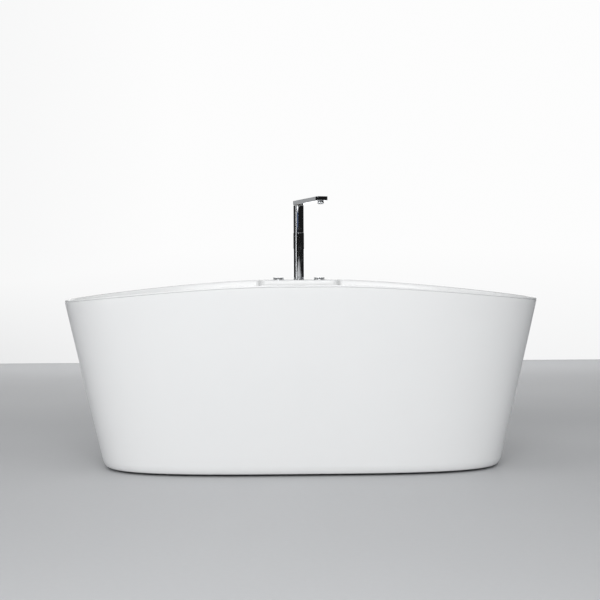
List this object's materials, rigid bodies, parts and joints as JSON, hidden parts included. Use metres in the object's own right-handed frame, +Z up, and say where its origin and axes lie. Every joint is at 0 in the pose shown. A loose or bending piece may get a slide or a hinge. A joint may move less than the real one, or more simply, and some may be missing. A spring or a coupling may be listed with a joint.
{
  "type": "freestanding bathtub",
  "caption": "Oval double-walled freestanding bathtub, rim arched along both long sides, with deck-mounted column tap, turning knobs, pop-up waste, overflow and levelled steel frame.",
  "frame": {"origin": "on the floor, directly under the middle of the tub; the feet stand on z = 0", "axes": "+X along the tub, +Y across it towards the tap, +Z up"},
  "size_m": [1.7, 0.8196, 0.9707],
  "materials": {
    "basin_shell": "white cast acrylic sheet, glossy, reinforced behind",
    "skirt_shell": "white cast acrylic sheet, satin gloss",
    "board": "resin-sealed particle board, sanded",
    "frame_steel": "square steel tube, dark grey powder coat",
    "zinc_steel": "zinc-plated steel, dull silver",
    "pad_rubber": "black moulded rubber, matt",
    "seal_rubber": "dark grey sealing rubber",
    "chrome_trim": "polished chrome on brass",
    "chrome_tap": "polished chrome on brass, mirror finish",
    "brass_fitting": "machined brass, unplated",
    "copper_pipe": "drawn copper tube, slightly dulled; brass stands in for copper in the mass",
    "grey_plastic": "moulded grey plastic",
    "white_plastic": "moulded white pipe plastic",
    "slip_plastic": "white low-friction bearing plastic",
    "red_plastic": "red enamelled marker disc",
    "blue_plastic": "blue enamelled marker disc"
  },
  "bodies": {
    "tub": {"basin": "basin_shell", "skirt": "skirt_shell", "base_board": "board", "deck_board": "board", "frame_rails": "frame_steel", "frame_cross_tubes": "frame_steel", "skirt_brackets": "zinc_steel", "skirt_screws": "zinc_steel", "foot_studs": "zinc_steel", "foot_nuts": "zinc_steel", "foot_pads": "pad_rubber", "waste_body": "chrome_trim", "waste_gasket": "seal_rubber", "waste_washer": "seal_rubber", "waste_nut": "brass_fitting", "waste_guide": "grey_plastic", "waste_tee": "white_plastic", "waste_outlet": "white_plastic", "overflow_cover": "chrome_trim", "overflow_screw": "zinc_steel", "overflow_gasket": "seal_rubber", "overflow_elbow": "white_plastic", "overflow_pipe": "grey_plastic", "overflow_bend": "white_plastic", "branch_pipe": "grey_plastic", "column_gasket": "seal_rubber", "column_lower": "chrome_tap", "column_upper": "chrome_tap", "column_riser": "copper_pipe", "tap_manifold": "brass_fitting", "column_washer": "zinc_steel", "column_nut": "brass_fitting", "swivel_washer": "slip_plastic", "swivel_bush": "slip_plastic", "valve_rings": "chrome_tap", "hot_cartridge": "grey_plastic", "cold_cartridge": "grey_plastic", "hot_valve": "brass_fitting", "cold_valve": "brass_fitting", "valve_washers": "zinc_steel", "valve_nuts": "brass_fitting", "link_tubes": "copper_pipe"},
    "spout": {"spout_arm": "chrome_tap", "swivel_seals": "seal_rubber", "aerator_ring": "chrome_tap", "aerator_insert": "grey_plastic"},
    "hot_handle": {"hot_knob": "chrome_tap", "hot_index": "red_plastic", "hot_spindle": "brass_fitting"},
    "cold_handle": {"cold_knob": "chrome_tap", "cold_index": "blue_plastic", "cold_spindle": "brass_fitting"},
    "stopper": {"stopper_cap": "chrome_trim", "stopper_seal": "seal_rubber", "stopper_stem": "brass_fitting"}
  },
  "joints": [
    {"name": "spout_swivel", "type": "hinge", "parent": "tub", "child": "spout", "pos_m": [0, 0.35, 0.942], "axis": [0, 0, 1], "range_deg": [-85, 35]},
    {"name": "hot_turn", "type": "hinge", "parent": "tub", "child": "hot_handle", "pos_m": [-0.08, 0.35, 0.655], "axis": [0, 0, 1], "range_deg": [0, 90]},
    {"name": "cold_turn", "type": "hinge", "parent": "tub", "child": "cold_handle", "pos_m": [0.08, 0.35, 0.655], "axis": [0, 0, 1], "range_deg": [0, 90]},
    {"name": "stopper_lift", "type": "slide", "parent": "tub", "child": "stopper", "axis": [0, 0, 1], "range_m": [0, 0.009]}
  ]
}
